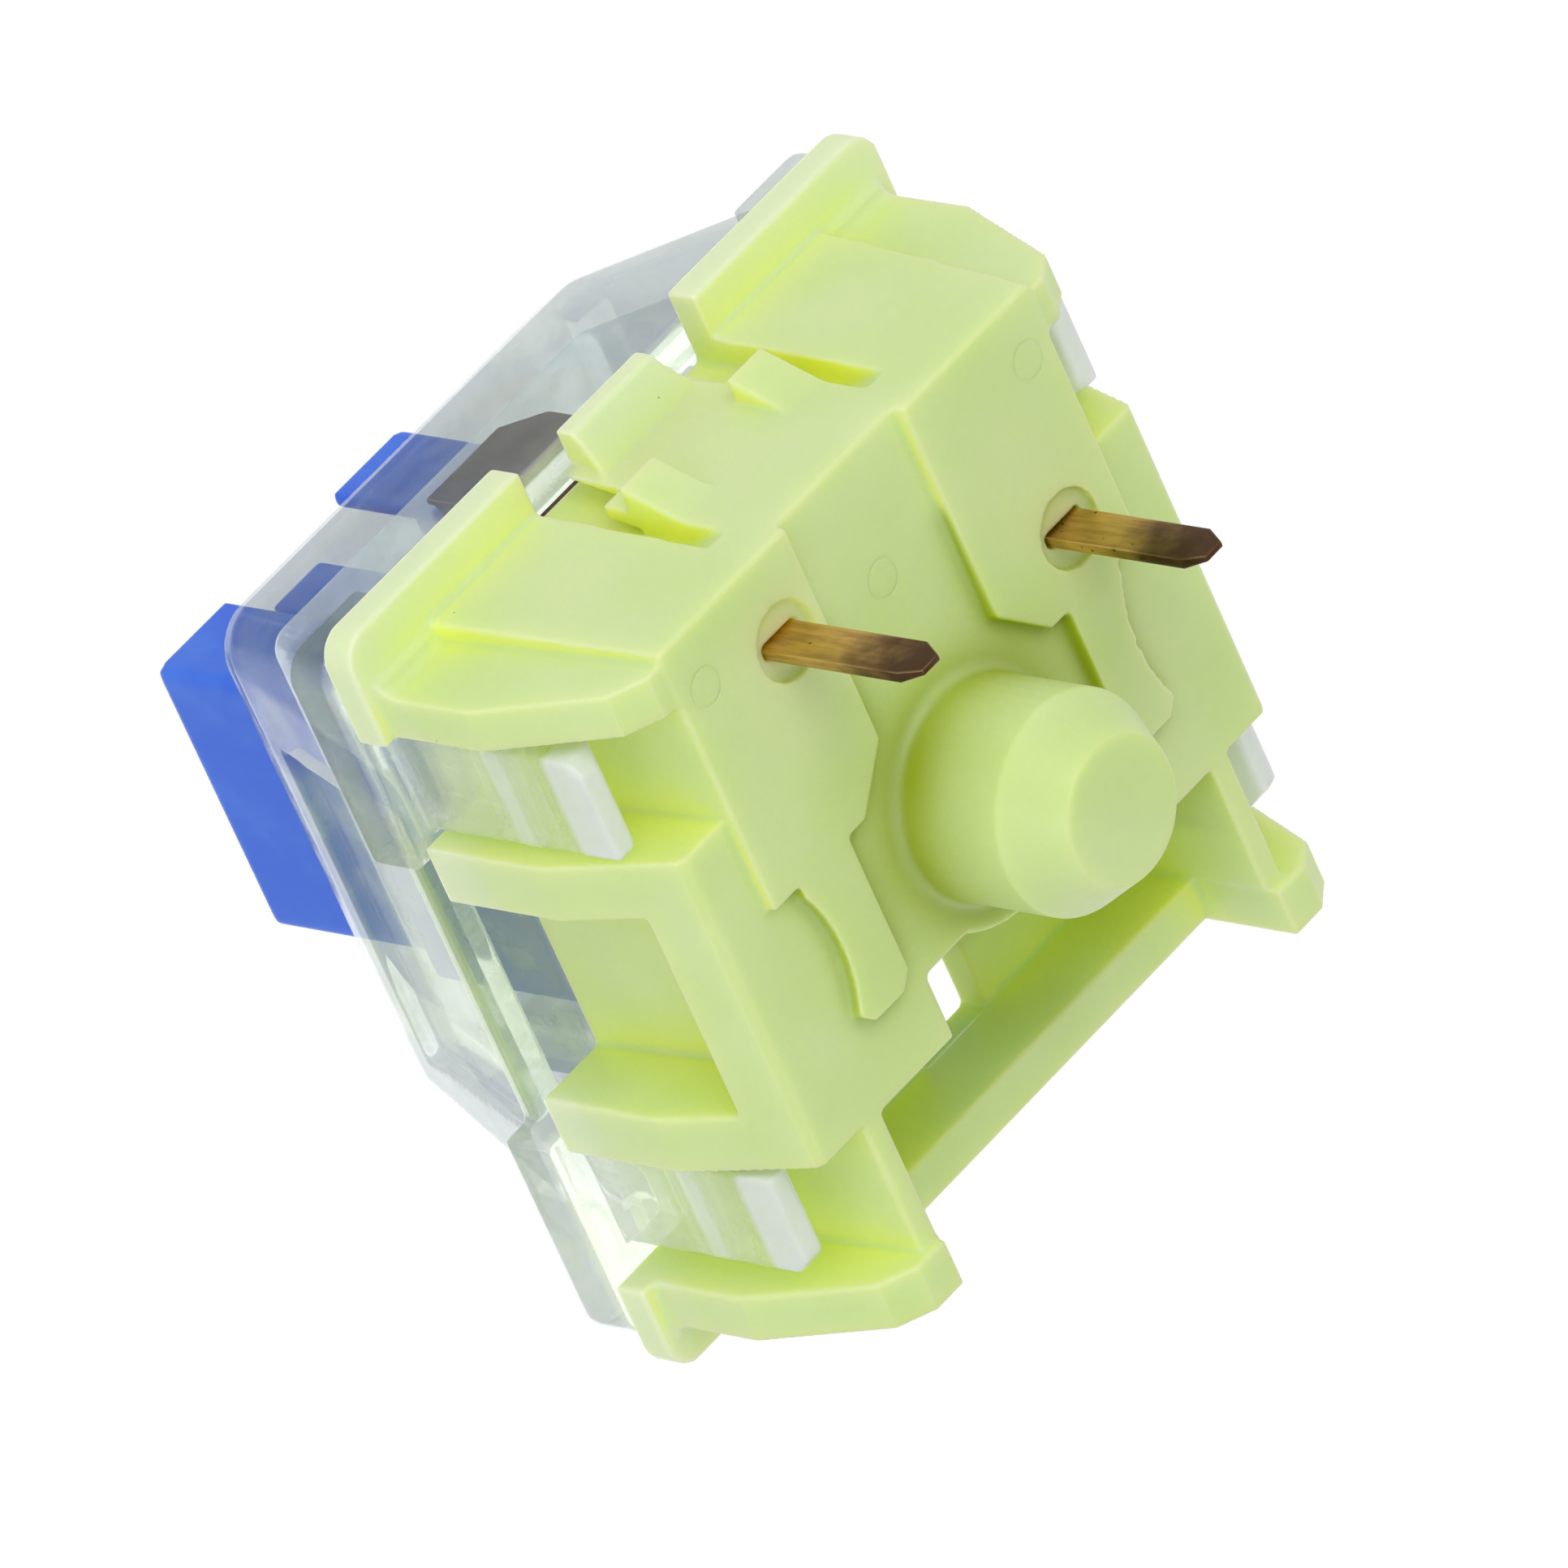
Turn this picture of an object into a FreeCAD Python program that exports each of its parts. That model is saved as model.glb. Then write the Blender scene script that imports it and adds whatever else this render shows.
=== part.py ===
import FreeCAD, Part
import math
import os

# A keyboard switch with a translucent bottom housing, a clear top housing and a box stem.
# Millimetres, +Z towards the key. The origin is on the centre post's axis, in the plane of
# the circuit board that the housing stands on. +Y is the side of the contact pins and -Y the
# side of the lamp slot.

V = FreeCAD.Vector
os.makedirs("parts", exist_ok=True)

cut_margin = 1.0             # how far a cutting block runs past the faces that it opens

# Heights above the circuit board
seat_height = 5.0            # underside of the flange, which rests on the plate
flange_thickness = 0.65
lid_height = 11.6            # roof of the top housing
stem_height = 15.4

# Footprint on the circuit board
post_radius = 1.95
post_length = 3.1
post_tip_radius = 1.3
post_tip_height = 1.05
post_root_fillet = 0.2
post_root_radius = 2.5
spring_seat_radius = 2.1
spring_seat_thickness = 0.5  # plastic between the notch and the spring
pin_length = 3.3
pin_width = 0.85
pin_thickness = 0.22
pin_point = 0.4              # length of the blunt point
pin_point_share = 0.5        # share of the width left at its end
leaf_pin_x = 2.54
leaf_pin_y = 5.08
fixed_pin_x = -3.81
fixed_pin_y = 2.54
lamp_y = -5.08

# Bottom housing, outside
foot_height = 0.25           # the feet stand this far below the floor
core_half_x = 5.1
core_half_x_rim = 5.45
core_north_y = 6.75
core_north_y_rim = 6.95
core_south_y = 3.3           # the floor ends this far south of the post
body_half_x = 6.95
body_half_x_foot = 5.9
body_taper_height = 3.0      # the sides lean in below this height
flange_half_x = 7.25
flange_half_y = 7.8
flange_corner_radius = 0.6
flange_fillet = 0.35
flange_fillet_belly = 0.3    # share of the fillet that its hollow face keeps
flange_inner_x = 2.1         # the north flange is open between its two corner pieces
south_opening_half_x = 3.9   # window for the lamp's light
block_half_x_foot = 6.25
block_half_y = 3.25          # middle block on each side
block_window_half_y = 2.1
block_shelf = 1.4
block_foot_chamfer = 0.12
wing_inner_x = 4.7
north_wing_inner_y = 5.7
north_wing_y = 6.55
south_wing_inner_y = 5.95
south_wing_y = 6.9
south_wall_y = 6.7
wing_foot = 0.05             # the wings end this far above the board
wing_foot_chamfer = 0.45
south_wall_foot = 2.0        # lower edge of the wall beyond the lamp slot
pin_dimple_radius = 0.7
pin_dimple_depth = 0.15

# Bottom housing, inside
floor_top = 1.2
cavity_half_x = 4.4
cavity_south_y = 2.6
cavity_north_y = 5.35
lamp_slot_half_x = 4.65
notch_half_x = 2.6
notch_north_y = 2.0
notch_height = 1.85
notch_cover = 0.4            # plastic round and over the notch's roof
bore_radius = 1.1
bore_floor = 1.2             # plastic left at the tip of the post
collar_radius = 1.5
collar_height = 0.8
shelf_bottom = 3.7
shelf_thickness = 0.7
lamp_hole_half_x = 0.9
lamp_hole_half_y = 1.0

# Feet under the floor
foot_inner_x = 1.6
foot_south_y = 1.35
foot_chamfer = 1.0
kidney_inner_x = 3.05
kidney_outer_x = 4.4
kidney_north_y = 1.4
kidney_south_y = 1.75
kidney_waist = 0.28
kidney_corner = 0.3

# Snap tongue for the plate, in the middle of the north wall
tongue_back_y = 6.35         # the wall behind the tongue and its slots
tongue_gap_foot = 2.6        # the gap behind the tongue opens from here
tongue_gap_top = 0.65
tongue_half_x = 1.45
tongue_tip_half_x = 1.1
tongue_tip_y = 7.6
tongue_top = 5.35
tongue_shoulder_z = 3.9
tongue_bend_z = 4.3          # the tongue leans out above this height
tongue_bend_step = 0.1
tongue_tip_height = 0.35
tongue_slot_width = 0.45
tongue_foot = 1.1
tongue_slot_ramp = 1.0       # height over which the slots reach their full depth
catch_inner_x = 1.0
catch_half_width = 0.48
catch_top = 3.3
catch_bottom = 1.9
catch_depth = 0.6
catch_root = 0.2

# Top housing
lid_wall = 0.8
lid_roof = 0.9
lid_base_inset = 0.25        # the lid's side walls stand this far inside the flange's edge
lid_base_half_x = flange_half_x - lid_base_inset
lid_base_north_y = 7.15
lid_base_south_y = 5.95
lid_shoulder_height = 10.8
lid_shoulder_half_x = 5.2
lid_shoulder_north_y = 5.7
lid_shoulder_south_y = 4.95
lid_top_half_x = 4.75
lid_top_north_y = 5.2
lid_top_south_y = 4.5
lid_corner_radius = 0.8
lid_corner_cut = 1.0         # the south corners are cut off at a slant
lid_flange_thickness = 1.1
lid_flange_half_y = 7.25
lid_flange_inner_x = 5.2
lid_side_opening_half_y = 2.95
lid_side_edge = 6.4          # lower edge of the sloping face over each side opening
lid_guide_clearance = 0.05
lid_guide_wall = 0.9
lid_guide_half_y = 3.1
lid_panel_half_y = 3.3
lid_panel_depth = 0.35
lid_panel_low = 6.8
lid_panel_high = 10.3
lamp_window_half_x = 3.7
lamp_window_top = 8.4
clip_thickness = 0.9
clip_outer_x = 6.65
clip_foot = 1.25
clip_far_y = 5.45
clip_corner = 0.3
clip_lead_height = 0.6
clip_pocket_bottom = 2.75
clip_pocket_top = 4.0
clip_skin = 0.3              # left outside the pocket that the hook sits in
clip_gap = 0.15
hook_reach = 1.0
hook_reach_top = 0.3
hook_bottom = 2.85
hook_top = 3.9

# Stem
stem_half_x = 3.43
stem_half_y = 2.8
stem_corner_radius = 0.2
stem_wall = 0.6
cap_room_radius = 2.95
cup_floor = 11.6
wall_gap_half_x = 1.45
wall_gap_sill = 0.4
cross_length = 4.05
cross_bar_x = 1.15
cross_bar_y = 1.3
slide_clearance = 0.15
roof_clearance = 0.1
slider_half_y = 2.45
slider_wall = 0.7
slider_bottom = 6.4
slider_deck = 0.9
slider_clearance = 0.1
spring_room_clearance = 0.1
pole_radius = 0.95
pole_tip = 1.9
pole_tip_chamfer = 0.25
cam_width = 0.8
cam_y = 3.45
cam_nose_bottom = 5.6
cam_nose_top = 7.4
cam_slope = 0.12
cam_root = 0.2
cam_nose_radius = 0.45
cam_head_room = 0.3

# Spring
spring_mean_radius = 1.75
spring_wire_radius = 0.16
spring_turns = 9
spring_wire_sides = 8        # the wire's section has flats to keep the mesh light
spring_end_gap = 0.02

# Contacts
sheet = 0.3
leaf_sheet = 0.12
contact_x = -0.85
contact_z = 6.5
fixed_plate_y = 3.7
point_radius = 0.4
fixed_point_height = 0.2
moving_point_height = 0.22
ear_offset_x = 1.3
ear_tip_y = 3.48
ear_bottom = 7.4
ear_root_height = 0.5        # the ears widen this much downwards at the blade
ear_root_step = 0.1
ear_top_step = 0.1
ear_corner_length = 0.5      # slanting corner at the top of the right ear
ear_corner_height = 0.6
ear_slope = 0.5              # the ears' upper edges fall this much towards the blade's front
leaf_top = 10.35
leaf_corner_width = 0.6
leaf_corner_height = 0.7
leaf_blade_bottom = 5.2
leaf_shoulder_height = 0.4   # between the neck and the blade
leaf_foot = 2.3
leaf_foot_width = 0.8        # the foot is this much wider than the neck
leaf_foot_height = 0.7
leaf_foot_slope = 0.5
leaf_neck_half_x = 0.65
terminal_top = 4.6
terminal_side_x = 3.2
terminal_corner = 0.8
terminal_window_gap = 0.6    # from the leaf's neck to the window in the terminal
terminal_side_web = 0.9
terminal_foot_web = 1.2
terminal_top_web = 0.8
fixed_plate_top = 3.6
fixed_tongue_top = 7.2
fixed_tongue_half_x = 0.65
fixed_tongue_corner = 0.3
fixed_tongue_root = 0.6      # slanting corner between the tongue and the plate
slot_clearance = 0.04

rim = seat_height + flange_thickness
floor_bottom = foot_height
notch_roof = floor_bottom + notch_height
spring_seat = notch_roof + spring_seat_thickness


def box(x0, x1, y0, y1, z0, z1):
    return Part.makeBox(x1 - x0, y1 - y0, z1 - z0, V(x0, y0, z0))


def prism(points, along, start, end):
    """Extrude an outline, given in the two other axes, along X, Y or Z."""
    place = {"x": lambda a, b: V(start, a, b),
             "y": lambda a, b: V(a, start, b),
             "z": lambda a, b: V(a, b, start)}[along]
    reach = {"x": V(end - start, 0, 0), "y": V(0, end - start, 0), "z": V(0, 0, end - start)}[along]
    corners = [place(a, b) for a, b in points]
    return Part.Face(Part.makePolygon(corners + corners[:1])).extrude(reach)


def rounded_outline(half_x, half_y, radius, z):
    """Wire of a rectangle with round corners, centred on the Z axis."""
    edges = []
    corners = [(1, 1), (-1, 1), (-1, -1), (1, -1)]
    slant = radius * (1 - math.sqrt(0.5))
    for index, (sx, sy) in enumerate(corners):
        along_x = V(sx * (half_x - radius), sy * half_y, z)
        along_y = V(sx * half_x, sy * (half_y - radius), z)
        middle = V(sx * (half_x - slant), sy * (half_y - slant), z)
        first, last = (along_y, along_x) if sx == sy else (along_x, along_y)
        edges.append(Part.Arc(first, middle, last).toShape())
        next_x, next_y = corners[(index + 1) % 4]
        if sx == sy:
            following = V(next_x * (half_x - radius), next_y * half_y, z)
        else:
            following = V(next_x * half_x, next_y * (half_y - radius), z)
        edges.append(Part.LineSegment(last, following).toShape())
    return Part.Wire(edges)


def lid_outline(half_x, north_y, south_y, z, radius, cut):
    """Wire of the lid's outline: round corners to the north, slanting ones to the south."""
    slant = radius * (1 - math.sqrt(0.5))
    west = V(-half_x, north_y - radius, z)
    east = V(half_x, north_y - radius, z)
    north_west = V(radius - half_x, north_y, z)
    north_east = V(half_x - radius, north_y, z)
    edges = [
        Part.Arc(east, V(half_x - slant, north_y - slant, z), north_east).toShape(),
        Part.makeLine(north_east, north_west),
        Part.Arc(north_west, V(slant - half_x, north_y - slant, z), west).toShape(),
    ]
    points = [west, V(-half_x, cut - south_y, z), V(cut - half_x, -south_y, z),
              V(half_x - cut, -south_y, z), V(half_x, cut - south_y, z), east]
    edges += [Part.makeLine(a, b) for a, b in zip(points, points[1:])]
    return Part.Wire(edges)


def lid_block(lower, upper, radius, cut):
    """Loft between two lid outlines, each given as half_x, north_y, south_y, z."""
    wires = [lid_outline(*level, radius, cut) for level in (lower, upper)]
    return Part.makeLoft(wires, True, True)


def taper_box(lower, upper):
    """Loft between two upright rectangles, each given as x0, x1, y0, y1, z."""
    wires = []
    for x0, x1, y0, y1, z in (lower, upper):
        corners = [V(x0, y0, z), V(x1, y0, z), V(x1, y1, z), V(x0, y1, z)]
        wires.append(Part.makePolygon(corners + corners[:1]))
    return Part.makeLoft(wires, True, True)


def cylinder(radius, z0, z1, x=0.0, y=0.0):
    return Part.makeCylinder(radius, z1 - z0, V(x, y, z0))


def mirror_x(shape):
    return shape.mirror(V(0, 0, 0), V(1, 0, 0))


def mirror_y(shape):
    return shape.mirror(V(0, 0, 0), V(0, 1, 0))


def both_sides(shape):
    return [shape, mirror_x(shape)]


def four_corners(shape):
    return [shape, mirror_x(shape), mirror_y(shape), mirror_y(mirror_x(shape))]


def fuse(shapes):
    return shapes[0].multiFuse(shapes[1:]).removeSplitter()


def side_outline(inner_x, foot_x, foot_z, foot_cut):
    """Outline in X and Z of a side rib: it leans out to the body's width, then stands upright."""
    lean = (body_half_x - foot_x) / (body_taper_height - foot_z)
    cut_x = foot_x + lean * foot_cut
    return [(inner_x, foot_z), (foot_x - foot_cut, foot_z), (cut_x, foot_z + foot_cut),
            (body_half_x, body_taper_height), (body_half_x, rim), (inner_x, rim)]


def flange_corner(inner_x, wall_inner_y, wall_y):
    """One corner piece of the flange, north and on the +X side, with its fillet below."""
    r = flange_corner_radius
    slant = r * (1 - math.sqrt(0.5))
    outer = V(flange_half_x, flange_half_y - r, seat_height)
    across = V(flange_half_x - r, flange_half_y, seat_height)
    middle = V(flange_half_x - slant, flange_half_y - slant, seat_height)
    small = r / 2
    start = V(inner_x + small, flange_half_y, seat_height)
    edges = [
        Part.makeLine(V(inner_x, wall_inner_y, seat_height), V(flange_half_x, wall_inner_y, seat_height)),
        Part.makeLine(V(flange_half_x, wall_inner_y, seat_height), outer),
        Part.Arc(outer, middle, across).toShape(),
        Part.makeLine(across, start),
        Part.makeLine(start, V(inner_x, flange_half_y - small, seat_height)),
        Part.makeLine(V(inner_x, flange_half_y - small, seat_height), V(inner_x, wall_inner_y, seat_height)),
    ]
    plate = Part.Face(Part.Wire(edges)).extrude(V(0, 0, flange_thickness))
    # a hollow fillet carries the flange on the wall below it
    size = flange_fillet
    belly = size * flange_fillet_belly
    fillet = prism([(wall_y - size, seat_height + size), (wall_y - size, seat_height - size),
                    (wall_y, seat_height - size), (wall_y + belly, seat_height - belly),
                    (wall_y + size, seat_height), (wall_y + size, seat_height + size)],
                   "x", inner_x, body_half_x)
    return plate.fuse(fillet)


def kidney_foot():
    """The waisted foot beside the post, on the +X side."""
    cut = kidney_corner
    waist = V(kidney_outer_x - kidney_waist, (kidney_north_y - kidney_south_y) / 2, 0)
    upper = V(kidney_outer_x, kidney_north_y - cut, 0)
    lower = V(kidney_outer_x, cut - kidney_south_y, 0)
    corners = [lower, V(kidney_outer_x - cut, -kidney_south_y, 0),
               V(kidney_inner_x + cut, -kidney_south_y, 0), V(kidney_inner_x, cut - kidney_south_y, 0),
               V(kidney_inner_x, kidney_north_y, 0), V(kidney_outer_x, kidney_north_y, 0), upper]
    edges = [Part.makeLine(a, b) for a, b in zip(corners, corners[1:])]
    edges.append(Part.Arc(upper, waist, lower).toShape())
    return Part.Face(Part.Wire(edges)).extrude(V(0, 0, floor_bottom))


def centre_post():
    """Locating post with its root ring, turned about the Z axis."""
    root = post_root_fillet
    lean = root * (1 - math.sqrt(0.5))
    tip = -post_length
    top = spring_seat
    edge = V(post_radius + root, 0, floor_bottom)
    shaft = V(post_radius, 0, floor_bottom - root)
    points = [V(0, 0, top), V(spring_seat_radius, 0, top), V(spring_seat_radius, 0, floor_top),
              V(post_root_radius, 0, floor_top), V(post_root_radius, 0, floor_bottom), edge]
    edges = [Part.makeLine(a, b) for a, b in zip(points, points[1:])]
    edges.append(Part.Arc(edge, V(post_radius + lean, 0, floor_bottom - lean), shaft).toShape())
    points = [shaft, V(post_radius, 0, tip + post_tip_height), V(post_tip_radius, 0, tip),
              V(0, 0, tip), V(0, 0, top)]
    edges += [Part.makeLine(a, b) for a, b in zip(points, points[1:])]
    return Part.Face(Part.Wire(edges)).revolve(V(0, 0, 0), V(0, 0, 1), 360)


def tongue_gap_y(z):
    """Inner face of the tongue at a height; the gap behind it widens upwards."""
    return tongue_back_y + tongue_gap_top * (z - tongue_gap_foot) / (rim - tongue_gap_foot)


def snap_tongue_cuts():
    """Slots and flexing gap that free the snap tongue from the north wall."""
    outer = flange_half_y + cut_margin
    slot_inner = catch_inner_x + 2 * catch_half_width
    slot_outer = slot_inner + tongue_slot_width
    low = prism([(outer, tongue_foot), (core_north_y, tongue_foot),
                 (tongue_back_y, tongue_foot + tongue_slot_ramp), (tongue_back_y, rim), (outer, rim)],
                "x", slot_inner, slot_outer)
    high = box(tongue_half_x, slot_outer, tongue_back_y, outer, tongue_shoulder_z, rim)
    over = box(-tongue_half_x, tongue_half_x, tongue_back_y, outer, tongue_top, rim)
    gap = prism([(tongue_back_y, tongue_gap_foot), (tongue_gap_y(rim), rim), (tongue_back_y, rim)],
                "x", -slot_outer, slot_outer)
    return fuse(both_sides(low) + both_sides(high) + [over, gap])


def snap_tongue():
    """Upper end of the tongue, which leans out, and its two catches."""
    root_z = tongue_shoulder_z - tongue_tip_height
    lean = [(tongue_gap_y(root_z), root_z), (core_north_y, root_z),
            (core_north_y + tongue_bend_step, tongue_bend_z), (tongue_tip_y, tongue_top - tongue_tip_height),
            (tongue_tip_y, tongue_top), (tongue_gap_y(tongue_top), tongue_top)]
    blade = prism(lean, "x", -tongue_half_x, tongue_half_x)
    outer = flange_half_y + cut_margin
    side = prism([(tongue_half_x, tongue_shoulder_z), (outer, tongue_shoulder_z), (outer, rim),
                  (tongue_tip_half_x, rim), (tongue_tip_half_x, tongue_top - tongue_tip_height)],
                 "y", 0, outer)
    blade = blade.cut(fuse(both_sides(side)))
    root_y = core_north_y - catch_root
    catch = prism([(root_y, catch_bottom), (core_north_y, catch_bottom),
                   (core_north_y + catch_depth, catch_top), (root_y, catch_top)],
                  "x", catch_inner_x, catch_inner_x + 2 * catch_half_width)
    return [blade] + both_sides(catch)


def make_bottom_housing():
    body = taper_box((-core_half_x, core_half_x, -south_wall_y, core_north_y, floor_bottom),
                     (-core_half_x_rim, core_half_x_rim, -south_wing_y, core_north_y_rim, rim))

    # wings, middle blocks and flange
    wing_outline = side_outline(wing_inner_x, body_half_x_foot, wing_foot, wing_foot_chamfer)
    north_wing = prism(wing_outline, "y", north_wing_inner_y, north_wing_y)
    south_wing = prism(wing_outline, "y", -south_wing_y, -south_wing_inner_y)
    block = prism(side_outline(wing_inner_x, block_half_x_foot, floor_bottom, block_foot_chamfer),
                  "y", -block_half_y, block_half_y)
    window = box(wing_inner_x, body_half_x + cut_margin, -block_window_half_y, block_window_half_y,
                 block_shelf, rim)
    block = block.cut(window)
    north_flange = flange_corner(flange_inner_x, north_wing_inner_y, north_wing_y)
    south_flange = mirror_y(flange_corner(south_opening_half_x, south_wing_inner_y, south_wing_y))
    solids = [body] + both_sides(north_wing) + both_sides(south_wing) + both_sides(block)
    solids += both_sides(north_flange) + both_sides(south_flange)
    body = fuse(solids)

    # main cavity, lamp slot and the light's way out
    cuts = [
        box(-cavity_half_x, cavity_half_x, -cavity_south_y, cavity_north_y, floor_top, rim),
        box(-lamp_slot_half_x, lamp_slot_half_x, -south_wing_inner_y, -core_south_y,
            floor_bottom, shelf_bottom),
        box(-lamp_slot_half_x, lamp_slot_half_x, -south_wing_inner_y, -core_south_y,
            shelf_bottom + shelf_thickness, rim),
        box(-lamp_hole_half_x, lamp_hole_half_x, lamp_y - lamp_hole_half_y, lamp_y + lamp_hole_half_y,
            shelf_bottom, shelf_bottom + shelf_thickness),
        box(-wing_inner_x, wing_inner_x, -south_wing_y, -south_wing_inner_y,
            floor_bottom, south_wall_foot),
        box(-south_opening_half_x, south_opening_half_x, -flange_half_y, -south_wing_inner_y,
            shelf_bottom + shelf_thickness, rim),
        box(-notch_half_x, notch_half_x, -core_south_y, -notch_north_y, floor_bottom,
            notch_roof),
    ]
    body = body.cut(cuts[0].multiFuse(cuts[1:]))

    # the notch's roof inside, the post, the collar and the feet
    north_foot = prism([(foot_inner_x, core_north_y), (foot_inner_x, foot_south_y + foot_chamfer),
                        (foot_inner_x + foot_chamfer, foot_south_y), (core_half_x, foot_south_y),
                        (core_half_x, core_north_y)], "z", 0, floor_bottom)
    raised = box(-notch_half_x - notch_cover, notch_half_x + notch_cover, -cavity_south_y,
                 notch_cover - notch_north_y, floor_top, spring_seat)
    raised = raised.cut(box(-notch_half_x, notch_half_x, -cavity_south_y, -notch_north_y, floor_top,
                            notch_roof))
    collar = cylinder(collar_radius, floor_top, spring_seat + collar_height)
    solids = [body, centre_post(), raised, collar] + both_sides(north_foot) + both_sides(kidney_foot())
    body = fuse(solids)

    # snap tongue
    body = body.cut(snap_tongue_cuts())
    body = fuse([body] + snap_tongue())

    # bore for the stem's pole, pin slots and the dimples round the pins
    cuts = [cylinder(bore_radius, -post_length + bore_floor, spring_seat + collar_height)]
    for x, y in ((leaf_pin_x, leaf_pin_y), (fixed_pin_x, fixed_pin_y)):
        reach_x = pin_width / 2 + slot_clearance
        reach_y = pin_thickness / 2 + slot_clearance
        cuts.append(box(x - reach_x, x + reach_x, y - reach_y, y + reach_y, 0, floor_top))
        cuts.append(cylinder(pin_dimple_radius, 0, pin_dimple_depth, x, y))
    body = body.cut(cuts[0].multiFuse(cuts[1:]))

    # hooks that the top housing's clips catch on
    middle = (block_half_y + clip_gap + clip_far_y) / 2
    hook_half = (clip_far_y - block_half_y - clip_gap) / 2 - clip_gap
    base_x = core_half_x
    hook = prism([(base_x, hook_bottom), (base_x + hook_reach, hook_bottom),
                  (base_x + hook_reach_top, hook_top), (base_x, hook_top)],
                 "y", middle - hook_half, middle + hook_half)
    return fuse([body] + four_corners(hook))


def make_top_housing():
    base = (lid_base_half_x, lid_base_north_y, lid_base_south_y, rim)
    shoulder = (lid_shoulder_half_x, lid_shoulder_north_y, lid_shoulder_south_y, lid_shoulder_height)
    top = (lid_top_half_x, lid_top_north_y, lid_top_south_y, lid_height)
    outer = fuse([lid_block(base, shoulder, lid_corner_radius, lid_corner_cut),
                  lid_block(shoulder, top, lid_corner_radius, lid_corner_cut)])

    # flange at the four corners only
    plate = Part.Face(rounded_outline(flange_half_x, lid_flange_half_y, flange_corner_radius, rim))
    plate = plate.extrude(V(0, 0, lid_flange_thickness))
    far_x = flange_half_x + cut_margin
    far_y = flange_half_y + cut_margin
    flange_top = rim + lid_flange_thickness
    middle = box(-lid_flange_inner_x, lid_flange_inner_x, -far_y, far_y, rim, flange_top)
    sides = box(-far_x, far_x, -lid_side_opening_half_y, lid_side_opening_half_y, rim, flange_top)
    plate = plate.cut(fuse([middle, sides]))
    outer = fuse([outer, plate])

    # shallow panel on each sloping side face
    rise = lid_shoulder_height - rim
    lean = lid_base_half_x - lid_shoulder_half_x

    def slope_x(z, depth):
        return lid_base_half_x - lean * (z - rim) / rise - depth

    panel = prism([(slope_x(lid_panel_low, lid_panel_depth), lid_panel_low), (far_x, lid_panel_low),
                   (far_x, lid_panel_high),
                   (slope_x(lid_panel_high, lid_panel_depth), lid_panel_high)],
                  "y", -lid_panel_half_y, lid_panel_half_y)
    outer = outer.cut(fuse(both_sides(panel)))

    # inside of the shell
    inner_top = lid_height - lid_roof
    share = (inner_top - rim) / rise
    inner_levels = []
    for part, z in ((0, rim), (share, inner_top)):
        sizes = [low + (high - low) * part - lid_wall for low, high in zip(base[:3], shoulder[:3])]
        inner_levels.append((*sizes, z))
    shell = outer.cut(lid_block(*inner_levels, lid_corner_radius / 2, lid_corner_cut))

    # guide walls for the stem
    guide_x = cavity_half_x + lid_guide_clearance
    guide = box(guide_x, guide_x + lid_guide_wall,
                -lid_guide_half_y, lid_guide_half_y, rim + lid_guide_clearance, inner_top)
    shell = fuse([shell] + both_sides(guide.common(outer)))

    # openings: stem, sides and lamp window
    cuts = [box(-stem_half_x - slide_clearance, stem_half_x + slide_clearance,
                -stem_half_y - slide_clearance, stem_half_y + slide_clearance, inner_top, lid_height)]
    cuts += both_sides(box(guide_x + lid_guide_wall, flange_half_x + cut_margin,
                           -lid_side_opening_half_y, lid_side_opening_half_y, rim, lid_side_edge))
    cuts.append(box(-lamp_window_half_x, lamp_window_half_x, -flange_half_y - cut_margin,
                    lid_wall - lid_shoulder_south_y, rim, lamp_window_top))
    shell = shell.cut(cuts[0].multiFuse(cuts[1:]))

    # four clips that hold the housings together, on roots that reach the shell's walls
    near = block_half_y + clip_gap
    far = clip_far_y
    clip_top = rim + lid_flange_thickness / 2
    root = box(clip_outer_x - clip_thickness, far_x, near, far, rim, clip_top).common(outer)
    clip = prism([(near, clip_foot), (far - clip_corner, clip_foot), (far, clip_foot + clip_corner),
                  (far, clip_top), (near, clip_top)], "x", clip_outer_x - clip_thickness, clip_outer_x)
    lead = prism([(clip_outer_x - clip_thickness, clip_foot), (clip_outer_x - clip_thickness / 2, clip_foot),
                  (clip_outer_x - clip_thickness, clip_foot + clip_lead_height)], "y", near, far)
    pocket = box(clip_outer_x - clip_thickness, clip_outer_x - clip_skin, near, far,
                 clip_pocket_bottom, clip_pocket_top)
    clip = clip.cut(fuse([lead, pocket])).fuse(root)
    return fuse([shell] + four_corners(clip))


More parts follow.
